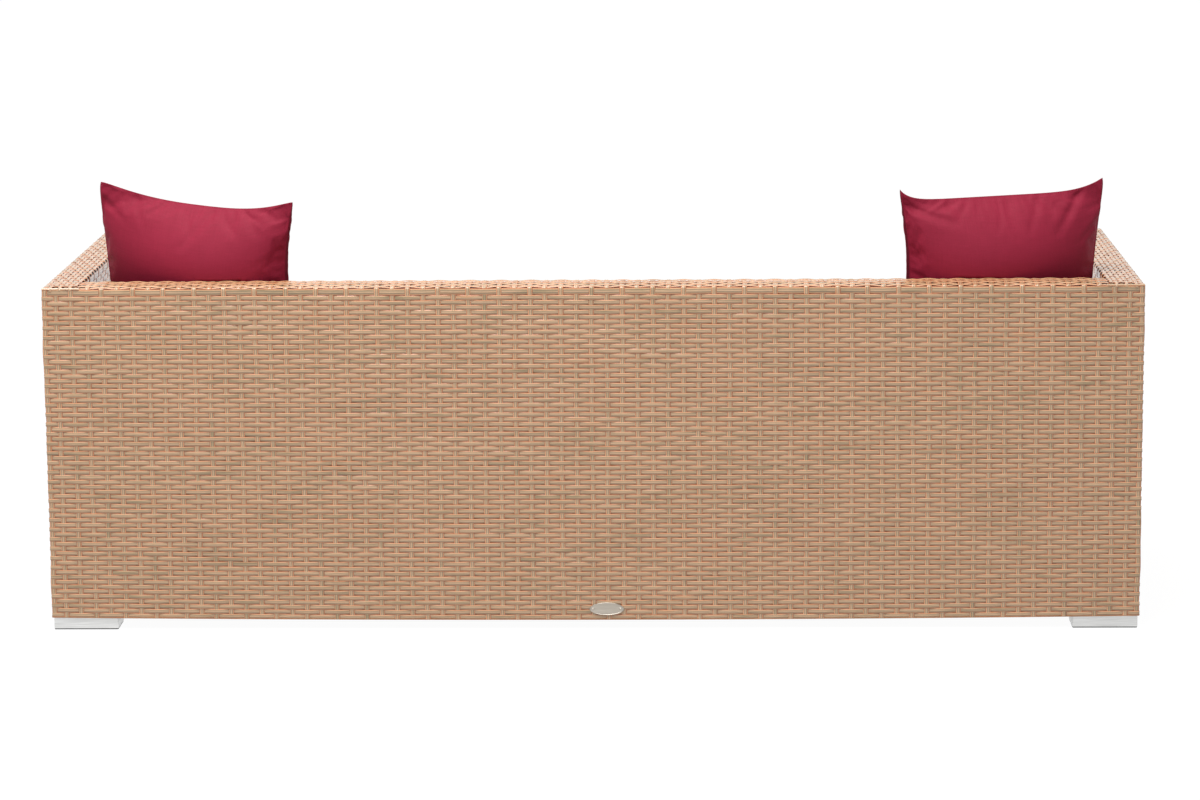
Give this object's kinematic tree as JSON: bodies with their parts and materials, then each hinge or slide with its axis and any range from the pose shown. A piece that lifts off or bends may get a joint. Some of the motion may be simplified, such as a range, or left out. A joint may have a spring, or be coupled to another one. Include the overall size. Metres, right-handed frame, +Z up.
{
  "type": "rattan garden sofa",
  "caption": "Low three-seat garden sofa: woven rattan box with level back and arms, flat metal feet, loose seat cushions and square scatter pillows.",
  "frame": {"origin": "on the floor, under the middle of the sofa's footprint", "axes": "+Z up, +X to the sitter's left along the sofa's length, -Y to the front where the sitter's feet go"},
  "size_m": [2.1, 0.8031, 0.8528],
  "materials": {
    "woven_rattan": "flat grooved strands of sand, khaki and terracotta, semi-matt",
    "frame_coat": "satin powder coat over aluminium tube",
    "brushed_aluminium": "brushed, satin",
    "black_plastic": "matt",
    "cast_aluminium": "as cast",
    "zinc_steel": "zinc plated",
    "satin_plate": "satin, bare",
    "cushion_cloth": "plain weave polyester, ruby red",
    "pillow_cloth": "plain weave polyester, ruby red"
  },
  "bodies": {
    "sofa_body": {"apron_post_1": "frame_coat", "apron_post_2": "frame_coat", "back_post_1": "frame_coat", "back_post_2": "frame_coat", "base_rail_front": "frame_coat", "base_rail_left": "frame_coat", "base_rail_rear": "frame_coat", "base_rail_right": "frame_coat", "corner_post_front_left": "frame_coat", "corner_post_front_right": "frame_coat", "corner_post_rear_left": "frame_coat", "corner_post_rear_right": "frame_coat", "foot_bolt_front_left": "zinc_steel", "foot_bolt_front_right": "zinc_steel", "foot_bolt_rear_left": "zinc_steel", "foot_bolt_rear_right": "zinc_steel", "foot_front_left": "brushed_aluminium", "foot_front_right": "brushed_aluminium", "foot_rear_left": "brushed_aluminium", "foot_rear_right": "brushed_aluminium", "glide_front_left": "black_plastic", "glide_front_right": "black_plastic", "glide_rear_left": "black_plastic", "glide_rear_right": "black_plastic", "low_rail_back": "frame_coat", "oval_plate": "satin_plate", "plate_rivet_left": "satin_plate", "plate_rivet_right": "satin_plate", "post_plug_front_left": "cast_aluminium", "post_plug_front_right": "cast_aluminium", "post_plug_rear_left": "cast_aluminium", "post_plug_rear_right": "cast_aluminium", "seat_cross_bar_1": "frame_coat", "seat_cross_bar_2": "frame_coat", "seat_cross_bar_3": "frame_coat", "seat_rail_front": "frame_coat", "seat_rail_left": "frame_coat", "seat_rail_rear": "frame_coat", "seat_rail_right": "frame_coat", "top_rail_back": "frame_coat", "top_rail_left": "frame_coat", "top_rail_right": "frame_coat", "weave_arm_left_front": "woven_rattan", "weave_arm_left_inner": "woven_rattan", "weave_arm_left_outer": "woven_rattan", "weave_arm_left_rim": "woven_rattan", "weave_arm_right_front": "woven_rattan", "weave_arm_right_inner": "woven_rattan", "weave_arm_right_outer": "woven_rattan", "weave_arm_right_rim": "woven_rattan", "weave_back_inner": "woven_rattan", "weave_back_outer": "woven_rattan", "weave_back_rim": "woven_rattan", "weave_front_apron": "woven_rattan", "weave_seat_deck": "woven_rattan"},
    "left_seat_cushion": {"seat_cushion_left": "cushion_cloth"},
    "middle_seat_cushion": {"seat_cushion_middle": "cushion_cloth"},
    "right_seat_cushion": {"seat_cushion_right": "cushion_cloth"},
    "left_pillow": {"scatter_pillow_left": "pillow_cloth"},
    "right_pillow": {"scatter_pillow_right": "pillow_cloth"}
  },
  "joints": [
    {"name": "lift_left_seat_cushion", "type": "slide", "parent": "sofa_body", "child": "left_seat_cushion", "axis": [0, 0, 1], "range_m": [0, 0.4]},
    {"name": "lift_middle_seat_cushion", "type": "slide", "parent": "sofa_body", "child": "middle_seat_cushion", "axis": [0, 0, 1], "range_m": [0, 0.4]},
    {"name": "lift_right_seat_cushion", "type": "slide", "parent": "sofa_body", "child": "right_seat_cushion", "axis": [0, 0, 1], "range_m": [0, 0.4]},
    {"name": "lift_left_pillow", "type": "slide", "parent": "left_seat_cushion", "child": "left_pillow", "axis": [0, 0, 1], "range_m": [0, 0.3]},
    {"name": "lift_right_pillow", "type": "slide", "parent": "right_seat_cushion", "child": "right_pillow", "axis": [0, 0, 1], "range_m": [0, 0.3]}
  ]
}
